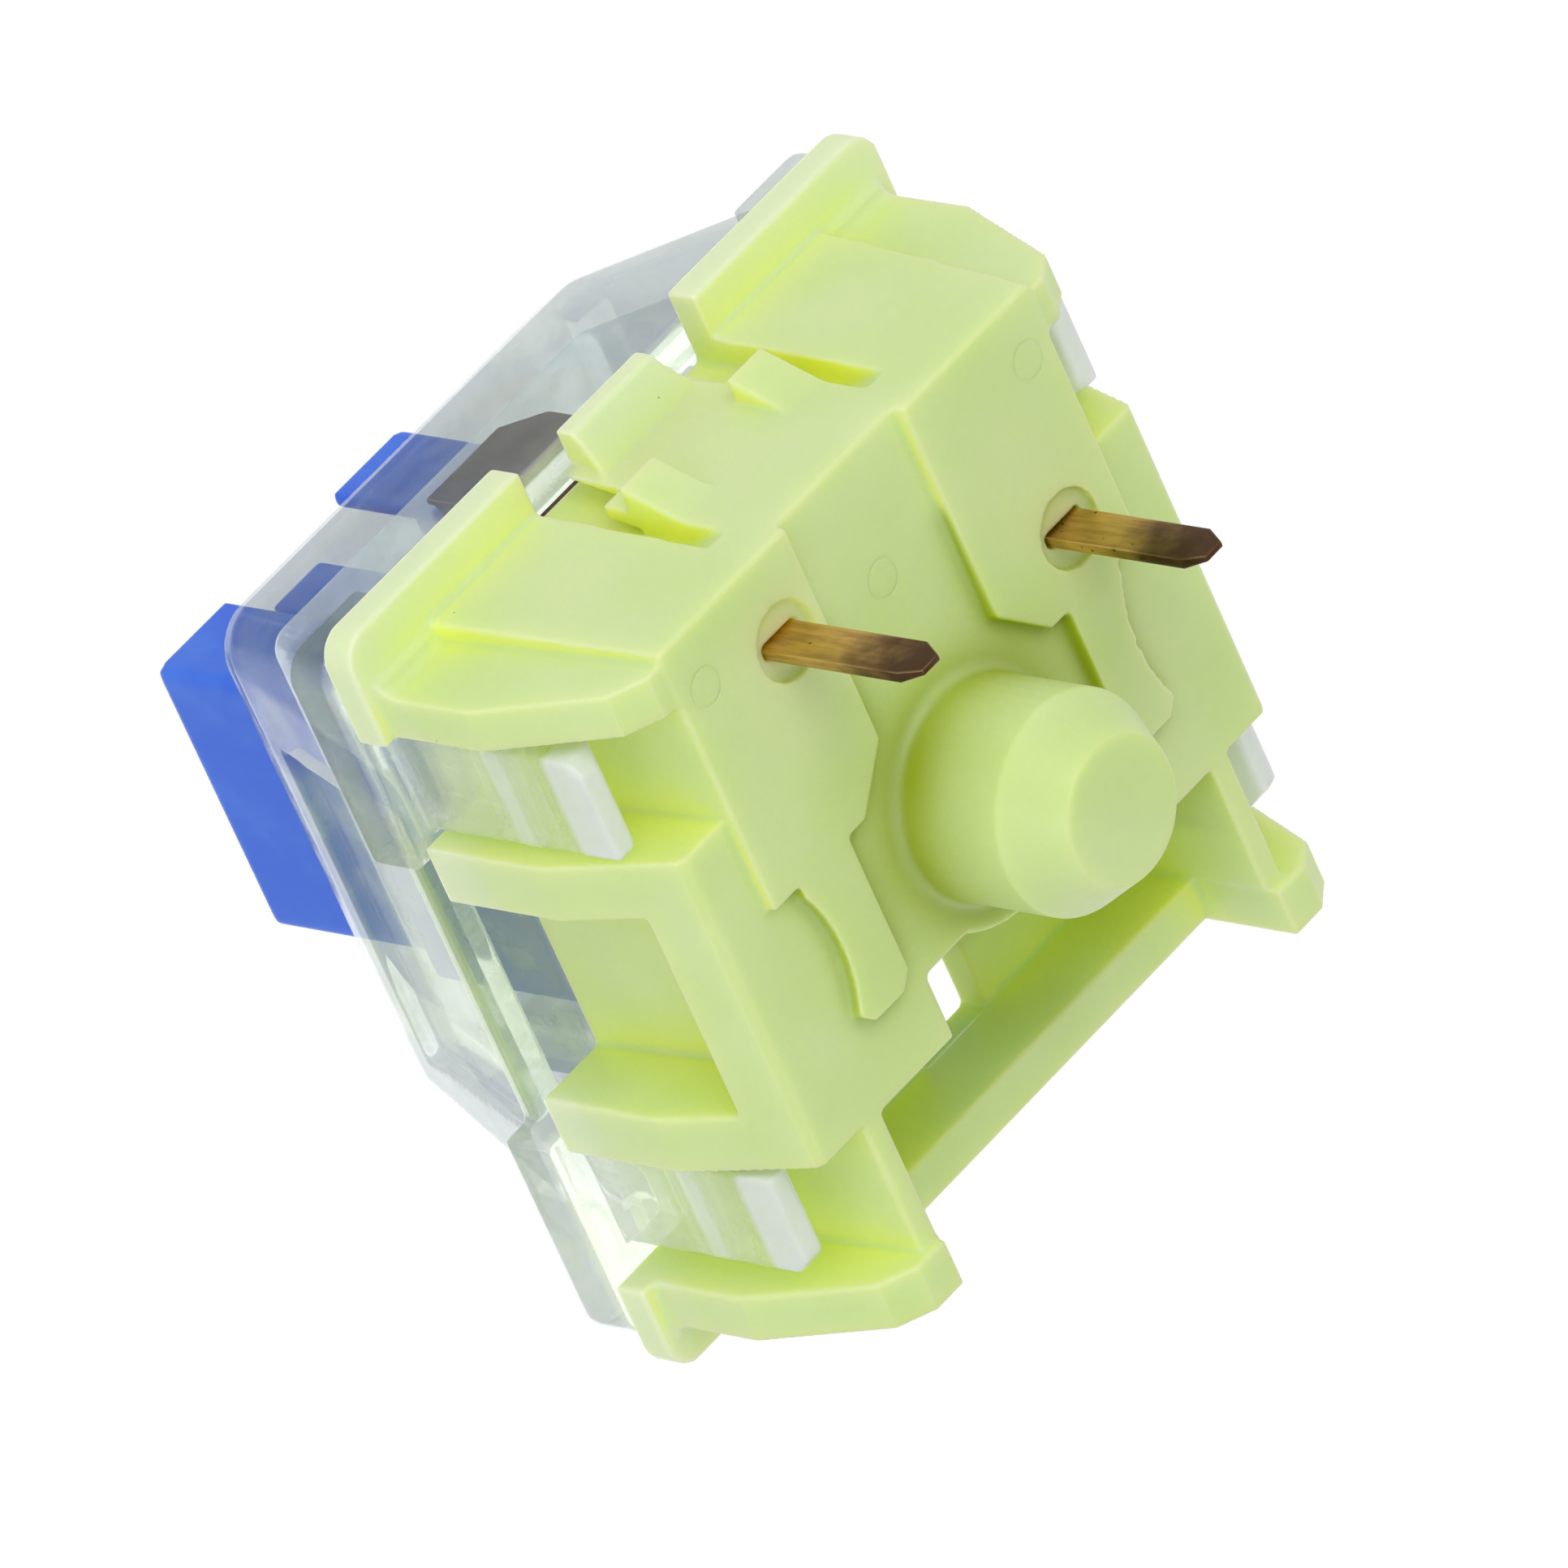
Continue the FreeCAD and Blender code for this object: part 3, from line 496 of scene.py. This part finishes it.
@dataclass(frozen=True)
class ClearPlastic(Finish):
    """Clear moulding: a cool grey, slightly milky lid that thins out into clear clips, with painted
    reflections and highlights.

    The steps for roughness and patches run over noise, and the rest run over millimetres.
    """

    name: str = "clear_plastic"
    tint: Colour = (0.80, 0.84, 0.83)
    clip_tint: Colour = (0.97, 0.99, 0.97)
    roughness: float = 0.08
    roughness_step: Step = Step(0.35, 0.75, 0.18)
    ior: float = 1.585
    straight_tint: Colour = (0.80, 0.83, 0.82)
    straight_share: float = 0.72
    north_straight_share: float = 0.13
    clip_straight_share: float = 0.55
    shade_tint: Colour = (0.93, 0.95, 0.96)
    clip_heights: Step = Step(6.0, 5.7)
    # the clips' tips and rib carry a painted highlight
    clip_tips: Step = Step(2.2, 1.95)
    clip_rib_height: float = 3.3
    clip_rib_width: Step = Step(0.3, 0.1, 0.6)
    north_wall: Step = Step(4.5, 5.1)
    # painted reflection: the sloping sides take on the yellow of the housing
    slope_sides: Step = Step(4.6, 5.6)
    slope_middle: Step = Step(3.3, 2.5)
    slope_reflection_tint: Colour = (0.60, 0.74, 0.36)
    slope_reflection_share: float = 0.29
    # painted highlight: whiter, milkier edges on the lid
    edge_highlight_tint: Colour = (0.86, 0.90, 0.92)
    edge_width: float = 0.1
    edge_highlight_share: float = 0.3
    haze: Clouds = Clouds(1.2)
    haze_tint: Colour = (0.60, 0.66, 0.60)
    haze_roughness: float = 0.25
    haze_share: float = 0.10
    haze_floor: float = 0.5
    haze_patches: Step = Step(0.42, 0.72, 1.4)
    north_clearing: float = 0.65
    # the clips' haze is real milkiness, coloured with a painted yellow-green reflection of the housing
    clip_haze_and_reflection_tint: Colour = (0.76, 0.88, 0.52)
    clip_haze_share: float = 0.33
    clip_haze_floor: float = 0.7
    clip_haze_patches: float = 0.6
    clip_band_highlight_share: float = 1.2
    waves: Clouds = Clouds(0.9, 2.0, (0.5, 0.5, 1.0))
    wave_depth: float = 0.015

    def _zones(self, tree: ShaderTree) -> LidZones:
        """Tells the lid, its north wall and sloping sides, the clips and their bands apart.

        Args:
            tree: The material's tree.

        Returns:
            The masks.
        """
        x, y, height = tree.axes()
        clip = height.ramp(self.clip_heights)
        lid = 1 - clip
        rib = abs(height - self.clip_rib_height).ramp(self.clip_rib_width)
        return LidZones(
            lid=lid,
            clip=clip,
            north=y.ramp(self.north_wall),
            slope=abs(x).ramp(self.slope_sides) * abs(y).ramp(self.slope_middle) * lid,
            clip_band_highlight=height.ramp(self.clip_tips).higher(rib),
            edge=tree.edges(self.edge_width) * lid,
        )

    def _glass(self, tree: ShaderTree, zones: LidZones, haze: Expr,
               normal: bpy.types.NodeSocket) -> bpy.types.Node:
        """Bends part of the light and lets the rest pass straight through, tinted.

        Args:
            tree: The material's tree.
            zones: The housing's parts.
            haze: Cloudy noise.
            normal: The wavy surface.

        Returns:
            The clear shader.
        """
        bent = tree.add("ShaderNodeBsdfPrincipled", None, {
            "Base Color": tree.mix(zones.clip, self.tint, self.clip_tint),
            "Roughness": self.roughness + haze.ramp(self.roughness_step),
            "IOR": self.ior,
            "Transmission Weight": 1.0,
            "Alpha": 1 - zones.clip * self.clip_straight_share,
            "Normal": normal,
        })
        straight = tree.add("ShaderNodeBsdfTransparent", None, {"Color": self.straight_tint})
        share = zones.lid * (self.straight_share + zones.north * self.north_straight_share)
        return tree.blend(share, bent, straight)

    def _cloud(self, tree: ShaderTree, zones: LidZones, normal: bpy.types.NodeSocket) -> bpy.types.Node:
        """Makes the milky part, which also carries painted reflections of the yellow housing and painted
        highlights.

        Args:
            tree: The material's tree.
            zones: The housing's parts.
            normal: The wavy surface.

        Returns:
            The milky shader.
        """
        # the clips' milky haze carries a painted reflection of the yellow housing
        tint = tree.mix(zones.clip, self.haze_tint, self.clip_haze_and_reflection_tint)
        # painted reflection of the yellow housing on the sloping sides
        tint = tree.mix(zones.slope, tint, self.slope_reflection_tint)
        # painted highlight on the lid's edges and on the clips' tips and rib
        tint = tree.mix(zones.edge.higher(zones.clip_band_highlight * zones.clip), tint, self.edge_highlight_tint)
        sockets = {"Base Color": tint, "Roughness": self.haze_roughness, "Normal": normal}
        return tree.add("ShaderNodeBsdfPrincipled", None, sockets)

    def _cloud_share(self, zones: LidZones, haze: Expr) -> Expr:
        """Works out how milky each place is, with more share on the sloping sides, edges and clips' bands
        for painted reflection and highlights.

        Args:
            zones: The housing's parts.
            haze: Cloudy noise.

        Returns:
            The milky shader's share.
        """
        walls = self.haze_share * (1 - zones.north * self.north_clearing)
        walls = walls * (self.haze_floor + haze.ramp(self.haze_patches)) + zones.slope * self.slope_reflection_share
        # the clips' tips and rib get a larger milky share, as a painted highlight
        clips = self.clip_haze_floor + haze * self.clip_haze_patches + zones.clip_band_highlight * self.clip_band_highlight_share
        clips = self.clip_haze_share * clips
        return walls * zones.lid + clips * zones.clip + zones.edge * self.edge_highlight_share

    def paint(self, tree: ShaderTree) -> None:
        """Mixes clear and milky plastic; lamps shine through both with a slight tint.

        Args:
            tree: The material's tree.
        """
        zones = self._zones(tree)
        haze = tree.noise(self.haze)
        normal = tree.bump(tree.noise(self.waves), self.wave_depth)
        clear = self._glass(tree, zones, haze, normal)
        cloud = self._cloud(tree, zones, normal)
        body = tree.blend(self._cloud_share(zones, haze), clear, cloud)
        through = tree.add("ShaderNodeBsdfTransparent", None, {"Color": self.shade_tint})
        shade = tree.number("ShaderNodeLightPath", "Is Shadow Ray")
        tree.end(tree.blend(shade, body, through))


@dataclass(frozen=True)
class StemPlastic(Finish):
    """Blue satin moulding that runs in its guides, with a bloom that steps over noise."""

    name: str = "stem_plastic"
    tint: Colour = (0.025, 0.135, 0.72)
    worn_tint: Colour = (0.045, 0.18, 0.76)
    bloom: Clouds = Clouds(0.7)
    bloom_step: Step = Step(0.4, 0.75)
    rub: Clouds = Clouds(6.0, 2.0, (1.0, 1.0, 0.12))
    rub_depth: float = 0.003
    roughness: float = 0.42
    rub_roughness: float = 0.12
    ior: float = 1.48
    light_share: float = 0.5
    light_reach: Triple = (0.4, 0.6, 1.0)
    reach_scale: float = 0.25

    def paint(self, tree: ShaderTree) -> None:
        """Draws even blue with a faint lighter bloom and upright rub marks.

        Args:
            tree: The material's tree.
        """
        rub = tree.noise(self.rub)
        shader = tree.add("ShaderNodeBsdfPrincipled", {"subsurface_method": "RANDOM_WALK"}, {
            "Base Color": tree.mix(tree.noise(self.bloom).ramp(self.bloom_step), self.tint, self.worn_tint),
            "Roughness": self.roughness + rub * self.rub_roughness,
            "IOR": self.ior,
            "Subsurface Weight": self.light_share,
            "Subsurface Radius": self.light_reach,
            "Subsurface Scale": self.reach_scale * MM,
            "Normal": tree.bump(rub, self.rub_depth),
        })
        tree.end(shader)


@dataclass(frozen=True)
class SheetMetal(Finish):
    """Stamped or drawn metal with streaks along Z and a dark tarnish.

    Apart from tarnish_heights, its steps run over noise.
    """

    name: str = "terminal_brass"
    bright: Colour = (0.80, 0.48, 0.18)
    dull: Colour = (0.56, 0.32, 0.12)
    tarnish: Colour = (0.075, 0.038, 0.017)
    # painted highlight colour for the edges, where light would catch them
    edge: Colour = (0.90, 0.64, 0.34)
    tarnish_heights: Step = Step(0.0, -3.3, 0.8)
    roughness: float = 0.3
    streaks: Clouds = Clouds(9.0, 3.0, (1.0, 1.0, 0.12))
    streak_step: Step = Step(0.35, 0.7)
    streak_roughness: float = 0.2
    streak_depth: float = 0.004
    patches: Clouds = Clouds(1.6)
    patch_share: float = 0.6
    patch_floor: float = 0.32
    dark_step: Step = Step(0.0, 0.75)
    spots: Specks = Specks(5.0, 0.2, 0.25, 0.8)
    edge_width: float = 0.05
    edge_patches: Step = Step(0.3, 0.6, 0.7)

    def paint(self, tree: ShaderTree) -> None:
        """Draws streaked metal that darkens over its tarnished heights, with a painted highlight on the
        edges.

        Args:
            tree: The material's tree.
        """
        height = tree.axes()[2]
        streaks = tree.noise(self.streaks)
        patches = tree.noise(self.patches)
        dark = height.ramp(self.tarnish_heights) + patches * self.patch_share - self.patch_floor
        colour = tree.mix(streaks.ramp(self.streak_step), self.bright, self.dull)
        colour = tree.mix(dark.ramp(self.dark_step), colour, self.tarnish)
        colour = tree.mix(tree.specks(self.spots), colour, self.tarnish)
        # painted highlight on the edges, in patches
        edge_highlight = tree.edges(self.edge_width) * patches.ramp(self.edge_patches)
        colour = tree.mix(edge_highlight, colour, self.edge)
        shader = tree.add("ShaderNodeBsdfPrincipled", None, {
            "Base Color": colour,
            "Metallic": 1.0,
            "Roughness": self.roughness + streaks * self.streak_roughness,
            "Normal": tree.bump(streaks, self.streak_depth),
        })
        tree.end(shader)


@dataclass(frozen=True)
class FloorFinish(Finish):
    """Pale floor that keeps a shadow, fades into the white backdrop and is open from below."""

    name: str = "pale_floor"
    shade: Colour = (0.9, 0.9, 0.9)
    fade: Step = Step(22.0, 60.0)

    def paint(self, tree: ShaderTree) -> None:
        """White card near the switch, plain white light further out and in reflections.

        Lamps and soft light pass through it, because the camera looks at the switch from
        below and the underside needs the same light as the rest.

        Args:
            tree: The material's tree.
        """
        x, y, _ = tree.axes()
        away = ((x * x + y * y) ** 0.5).ramp(self.fade)
        card = tree.add("ShaderNodeBsdfDiffuse", None, {"Color": self.shade})
        glow = tree.add("ShaderNodeEmission", None, {"Strength": 1.0})
        path = tree.add("ShaderNodeLightPath").outputs
        seen = tree.blend(away.higher(Expr(tree, path["Is Glossy Ray"])), card, glow)
        behind = tree.number("ShaderNodeNewGeometry", "Backfacing")
        lit = Expr(tree, path["Is Shadow Ray"]).higher(Expr(tree, path["Is Diffuse Ray"]))
        opened = tree.add("ShaderNodeBsdfTransparent")
        tree.end(tree.blend(behind.higher(lit), seen, opened))


# Meshes


class Rounding(Enum):
    """How the sharp edges of a CAD solid are softened."""

    MOULDED = "voxels and smoothing, for soft edges and filled corners"
    CRISP = "bevels, for flat polished faces"


@dataclass(frozen=True)
class EdgeWork:
    """Turns a CAD node into a new mesh with softened edges.

    The work is done in millimetres, because the remesher does not take smaller voxels
    than a tenth of a millimetre in metres.
    """

    rounding: Rounding = Rounding.MOULDED
    weld: float = 0.0005
    voxel: float = 0.08
    smoothing: int = 6
    smooth_factor: float = 0.5
    triangles: int = 120_000
    bevel: float = 0.06
    bevel_steps: int = 2
    flat_degrees: float = 1.0
    bevel_degrees: float = 28.0
    sharp_degrees: float = 30.0

    def _copy(self, node: str) -> bpy.types.Object:
        """Copies a CAD node in millimetres and welds its faces together.

        Args:
            node: The CAD node.

        Returns:
            The copy, linked to the scene.
        """
        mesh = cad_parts[node].data.copy()
        mesh.materials.clear()
        mesh.transform(Matrix.Scale(1 / MM, 4))
        piece = bpy.data.objects.new(node + "_work", mesh)
        bpy.context.scene.collection.objects.link(piece)
        piece.modifiers.new("weld", "WELD").merge_threshold = self.weld
        return piece

    def _moulded(self, piece: bpy.types.Object) -> None:
        """Adds the voxel remesh, the smoothing and the thinning.

        Args:
            piece: The copy to work on.
        """
        remesh = piece.modifiers.new("remesh", "REMESH")
        remesh.mode = "VOXEL"
        remesh.voxel_size = self.voxel
        smooth = piece.modifiers.new("smooth", "SMOOTH")
        smooth.factor = self.smooth_factor
        smooth.iterations = self.smoothing
        bpy.context.view_layer.update()
        shown = piece.evaluated_get(bpy.context.evaluated_depsgraph_get())
        count = 2 * len(shown.data.polygons)
        thin = piece.modifiers.new("thin", "DECIMATE")
        thin.ratio = min(1.0, self.triangles / count)

    def _crisp(self, piece: bpy.types.Object) -> None:
        """Adds the joining of flat faces and the bevel.

        Args:
            piece: The copy to work on.
        """
        flat = piece.modifiers.new("flat", "DECIMATE")
        flat.decimate_type = "DISSOLVE"
        flat.angle_limit = math.radians(self.flat_degrees)
        bevel = piece.modifiers.new("bevel", "BEVEL")
        bevel.width = self.bevel
        bevel.segments = self.bevel_steps
        bevel.limit_method = "ANGLE"
        bevel.angle_limit = math.radians(self.bevel_degrees)
        bevel.harden_normals = True

    def make(self, node: str, name: str) -> bpy.types.Object:
        """Builds the softened piece.

        Args:
            node: CAD node to start from.
            name: Name of the new piece.

        Returns:
            The new piece in metres, in place.
        """
        work = self._copy(node)
        if self.rounding is Rounding.MOULDED:
            self._moulded(work)
        else:
            self._crisp(work)
        bpy.context.view_layer.update()
        mesh = bpy.data.meshes.new_from_object(work.evaluated_get(bpy.context.evaluated_depsgraph_get()))
        bpy.data.objects.remove(work)
        mesh.name = name
        mesh.transform(Matrix.Scale(MM, 4))
        mesh.shade_smooth()
        if self.rounding is Rounding.CRISP:
            mesh.set_sharp_from_angle(angle=math.radians(self.sharp_degrees))
        piece = bpy.data.objects.new(name, mesh)
        bpy.context.scene.collection.objects.link(piece)
        return piece


@dataclass
class DressedPiece:
    """A piece of the switch that stands for one CAD node."""

    node: str
    body: str
    slot: str
    finish: Finish
    edges: EdgeWork = EdgeWork()

    def build(self) -> bpy.types.Object:
        """Makes the mesh, dresses it and lets it ride on its body.

        Returns:
            The finished piece.
        """
        piece = self.shape(self.node + "_piece")
        piece.data.materials.append(self.finish.material())
        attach(piece, self.body)
        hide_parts(self.node)
        self.fit_motion(piece)
        log.info("%s: %d faces", piece.name, len(piece.data.polygons))
        return piece

    def shape(self, name: str) -> bpy.types.Object:
        """Makes the piece's mesh; most pieces soften their CAD node."""
        return self.edges.make(self.node, name)

    def fit_motion(self, piece: bpy.types.Object) -> None:
        """A hook for a piece that moves with a joint; most pieces need nothing here."""


@dataclass
class BottomHousing(DressedPiece):
    """The translucent shell with the post, feet, tongue, wings and flange."""

    node: str = "bottom_housing"
    body: str = "housing"
    slot: str = "tinted_housing"
    finish: Finish = TintedPlastic()
    edges: EdgeWork = EdgeWork(voxel=0.055, smoothing=3, triangles=170_000)


@dataclass
class TopHousing(DressedPiece):
    """The clear shell with its clips."""

    node: str = "top_housing"
    body: str = "housing"
    slot: str = "clear_housing"
    finish: Finish = ClearPlastic()
    edges: EdgeWork = EdgeWork(voxel=0.06, smoothing=9, triangles=130_000)


@dataclass
class KeyStem(DressedPiece):
    """The blue stem with its cup and cross."""

    node: str = "stem"
    body: str = "key_stem"
    slot: str = "stem_plastic"
    finish: Finish = StemPlastic()
    edges: EdgeWork = EdgeWork(voxel=0.08, smoothing=4, triangles=70_000)


@dataclass
class ReturnSpring(DressedPiece):
    """The spring round the stem's pole, wound from round wire at an even pitch."""

    node: str = "return_spring"
    body: str = "housing"
    slot: str = "spring_steel"
    finish: Finish = SheetMetal(
        name="spring_steel", bright=(0.62, 0.61, 0.6), dull=(0.45, 0.45, 0.45), tarnish=(0.2, 0.2, 0.2),
        edge=(0.8, 0.8, 0.8), tarnish_heights=BELOW_ALL, roughness=0.25)
    wire_radius: float = 0.15
    turns: int = 9
    steps_per_turn: int = 40
    wire_sides: int = 12
    travel: float = 3.6

    def _centre_line(self) -> list[Vector]:
        """Follows the middle of the wire.

        Returns:
            Points in millimetres, from the lower end to the upper one.
        """
        low, high = (Vector(corner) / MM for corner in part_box(self.node))
        middle = (low + high) / 2
        radius = (high.x - low.x) / 2 - self.wire_radius
        pitch = (high.z - low.z - 2 * self.wire_radius) / self.turns
        points = []
        for step in range(self.turns * self.steps_per_turn + 1):
            turn = step / self.steps_per_turn
            angle = math.tau * turn
            across = Vector((math.cos(angle), math.sin(angle), 0.0)) * radius
            points.append(Vector((middle.x, middle.y, low.z + self.wire_radius + turn * pitch)) + across)
        return points

    def _section(self, point: Vector, ahead: Vector) -> list[Vector]:
        """Places the corners of the wire's section.

        Args:
            point: Middle of the section, in millimetres.
            ahead: Way in which the wire runs there.

        Returns:
            The corners in metres.
        """
        out = Vector((point.x, point.y, 0.0)).normalized()
        side = ahead.normalized().cross(out).normalized()
        angles = [math.tau * k / self.wire_sides for k in range(self.wire_sides)]
        return [(point + (out * math.cos(a) + side * math.sin(a)) * self.wire_radius) * MM for a in angles]

    def shape(self, name: str) -> bpy.types.Object:
        """Sweeps a round section along the wire's middle.

        Args:
            name: Name of the piece.

        Returns:
            The spring in metres, in place.
        """
        line = self._centre_line()
        wire = bmesh.new()
        rings = []
        for number, point in enumerate(line):
            ahead = line[min(number + 1, len(line) - 1)] - line[max(number - 1, 0)]
            rings.append([wire.verts.new(corner) for corner in self._section(point, ahead)])
        for first, second in zip(rings, rings[1:]):
            for k in range(self.wire_sides):
                after = (k + 1) % self.wire_sides
                wire.faces.new((first[k], first[after], second[after], second[k]))
        wire.faces.new(rings[0][::-1])
        wire.faces.new(rings[-1])
        bmesh.ops.recalc_face_normals(wire, faces=wire.faces)
        mesh = bpy.data.meshes.new(name)
        wire.to_mesh(mesh)
        wire.free()
        mesh.shade_smooth()
        piece = bpy.data.objects.new(name, mesh)
        bpy.context.scene.collection.objects.link(piece)
        return piece

    def fit_motion(self, piece: bpy.types.Object) -> None:
        """Gives the spring a mesh of its own.

        Args:
            piece: The spring.
        """
        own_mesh(piece)


@dataclass
class Contacts:
    """Terminals, leaf and contact points."""

    brass: SheetMetal = SheetMetal()
    copper: SheetMetal = SheetMetal(
        name="leaf_copper", bright=(0.19, 0.105, 0.06), dull=(0.12, 0.065, 0.04),
        tarnish=(0.06, 0.033, 0.02), edge=(0.85, 0.52, 0.36),
        tarnish_heights=Step(5.0, 12.0, 0.8), roughness=0.42)
    plated: SheetMetal = SheetMetal(
        name="contact_metal", bright=(0.80, 0.66, 0.36), dull=(0.60, 0.46, 0.22),
        tarnish=(0.3, 0.2, 0.1), edge=(0.9, 0.78, 0.5),
        tarnish_heights=BELOW_ALL, roughness=0.2)
    stamped: EdgeWork = EdgeWork(Rounding.CRISP, bevel=0.03)
    thin: EdgeWork = EdgeWork(Rounding.CRISP, bevel=0.02)

    def build(self) -> list[bpy.types.Object]:
        """Makes and dresses the five metal pieces.

        Returns:
            The finished pieces.
        """
        rows = [
            DressedPiece("moving_contact_terminal", "housing", "terminal_brass", self.brass, self.stamped),
            DressedPiece("fixed_contact", "housing", "terminal_brass", self.brass, self.stamped),
            DressedPiece("moving_contact_leaf", "contact_leaf", "leaf_copper", self.copper, self.thin),
            DressedPiece("moving_contact_point", "contact_leaf", "contact_metal", self.plated, self.stamped),
            DressedPiece("fixed_contact_point", "housing", "contact_metal", self.plated, self.stamped),
        ]
        return [row.build() for row in rows]


# Studio


@dataclass(frozen=True)
class PhotoCamera:
    """The camera that was fitted to the photograph, in the shared frame."""

    place: Triple = (220.906, 218.754, -290.394)
    right: Triple = (-0.60043, -0.35828, -0.71493)
    forward: Triple = (-0.51456, -0.51125, 0.68837)
    lens: float = 586.835
    sensor: float = 36.0
    clip_start: float = 50.0
    clip_end: float = 10_000.0

    def build(self) -> bpy.types.Object:
        """Makes the scene's camera.

        Returns:
            The camera.
        """
        data = bpy.data.cameras.new("photo_camera")
        data.sensor_width = self.sensor
        data.lens = self.lens
        data.clip_start = self.clip_start * MM
        data.clip_end = self.clip_end * MM
        camera = bpy.data.objects.new("photo_camera", data)
        bpy.context.scene.collection.objects.link(camera)
        forward = Vector(self.forward).normalized()
        right = (Vector(self.right) - forward * forward.dot(Vector(self.right))).normalized()
        up = right.cross(forward)
        turn = Matrix((right, up, -forward)).transposed().to_4x4()
        camera.matrix_world = Matrix.Translation(Vector(self.place) * MM) @ turn
        bpy.context.scene.camera = camera
        return camera


@dataclass(frozen=True)
class SoftBox:
    """A square lamp that faces the switch."""

    name: str
    place: Triple
    size: float
    watts: float
    aim: Triple = (0.0, 0.0, 5.0)

    def build(self) -> bpy.types.Object:
        """Makes the lamp.

        Returns:
            The lamp, turned to the middle of the switch.
        """
        data = bpy.data.lights.new(self.name, "AREA")
        data.shape = "SQUARE"
        data.size = self.size * MM
        data.energy = self.watts
        lamp = bpy.data.objects.new(self.name, data)
        bpy.context.scene.collection.objects.link(lamp)
        lamp.location = Vector(self.place) * MM
        lamp.rotation_mode = "QUATERNION"
        lamp.rotation_quaternion = (Vector(self.aim) * MM - lamp.location).to_track_quat("-Z", "Y")
        return lamp


@dataclass(frozen=True)
class Studio:
    """Floor, backdrop and lamps."""

    ambient: float = 0.62
    white: Colour = (1.0, 1.0, 1.0)
    floor_height: float = -3.32
    floor_half: float = 90.0
    floor_finish: Finish = FloorFinish()
    lamps: tuple[SoftBox, ...] = (
        SoftBox("key", (45.0, 205.0, -150.0), 160.0, 0.21),
        SoftBox("side", (190.0, 40.0, -60.0), 160.0, 0.07),
        SoftBox("top", (-60.0, -80.0, 220.0), 180.0, 0.20),
    )

    def _world(self) -> None:
        """Even light, and white where the camera, gloss or glass looks past the switch."""
        world = bpy.data.worlds.new("studio")
        bpy.context.scene.world = world
        tree = ShaderTree(world)
        path = tree.add("ShaderNodeLightPath").outputs
        seen = Expr(tree, path["Is Camera Ray"]).higher(Expr(tree, path["Is Transmission Ray"]))
        seen = seen.higher(Expr(tree, path["Is Glossy Ray"]))
        light = tree.add("ShaderNodeBackground", None, {"Color": self.white, "Strength": self.ambient})
        white = tree.add("ShaderNodeBackground", None, {"Color": self.white, "Strength": 1.0})
        tree.end(tree.blend(seen, light, white), "ShaderNodeOutputWorld")

    def _floor(self) -> None:
        """A card just below the tips of the pins."""
        half = self.floor_half * MM
        mesh = bpy.data.meshes.new("floor")
        corners = [(-half, -half, 0.0), (half, -half, 0.0), (half, half, 0.0), (-half, half, 0.0)]
        mesh.from_pydata(corners, [], [(0, 1, 2, 3)])
        floor = bpy.data.objects.new("floor", mesh)
        floor.location.z = self.floor_height * MM
        bpy.context.scene.collection.objects.link(floor)
        mesh.materials.append(self.floor_finish.material())

    def build(self) -> None:
        """Makes the world, the floor and the lamps."""
        self._world()
        self._floor()
        for lamp in self.lamps:
            lamp.build()
        bpy.context.scene.view_settings.view_transform = "Standard"


def main() -> None:
    """Builds the pieces in order, then the studio and the camera."""
    logging.basicConfig(level=logging.INFO, format="%(message)s")
    for piece in (BottomHousing(), TopHousing(), KeyStem(), ReturnSpring(), Contacts()):
        piece.build()
    Studio().build()
    PhotoCamera().build()


if __name__ == "__main__":
    main()
